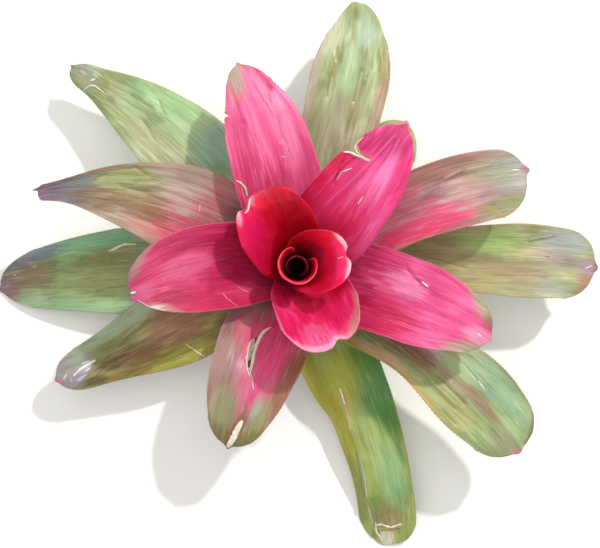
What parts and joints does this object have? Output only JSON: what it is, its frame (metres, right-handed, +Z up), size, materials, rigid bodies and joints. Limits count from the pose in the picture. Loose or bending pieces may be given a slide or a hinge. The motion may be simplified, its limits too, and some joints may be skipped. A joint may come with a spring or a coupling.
{
  "type": "neoregelia bromeliad plant",
  "caption": "Flat open rosette of arching strap leaves, crimson and cupped at the heart, pink round it and green outside, on a short cut stem.",
  "frame": {"origin": "middle of the stem's flat cut base", "axes": "+Z up along the rosette's axis; +X towards the longest spread of the leaves, so the longest pair of opposite leaves lies along X"},
  "size_m": [0.3944, 0.3581, 0.147],
  "materials": {
    "stem": "rough brown stem with leaf scars",
    "heart_leaf": "waxy crimson leaf, satin",
    "pink_leaf": "waxy pink leaf with fine lengthwise stripes, satin",
    "green_leaf": "waxy green leaf with a pale bloom and pinkish blush, satin"
  },
  "bodies": {
    "root": {"stem": "stem", "leaf_01": "heart_leaf", "leaf_02": "heart_leaf", "leaf_03": "heart_leaf", "leaf_04": "heart_leaf", "leaf_05": "heart_leaf", "leaf_06": "pink_leaf", "leaf_07": "pink_leaf", "leaf_08": "pink_leaf", "leaf_09": "pink_leaf", "leaf_10": "pink_leaf", "leaf_11": "green_leaf", "leaf_12": "green_leaf", "leaf_13": "green_leaf", "leaf_14": "green_leaf", "leaf_15": "green_leaf", "leaf_16": "green_leaf", "leaf_17": "green_leaf", "leaf_18": "green_leaf", "leaf_19": "green_leaf", "leaf_20": "green_leaf"}
  },
  "joints": []
}
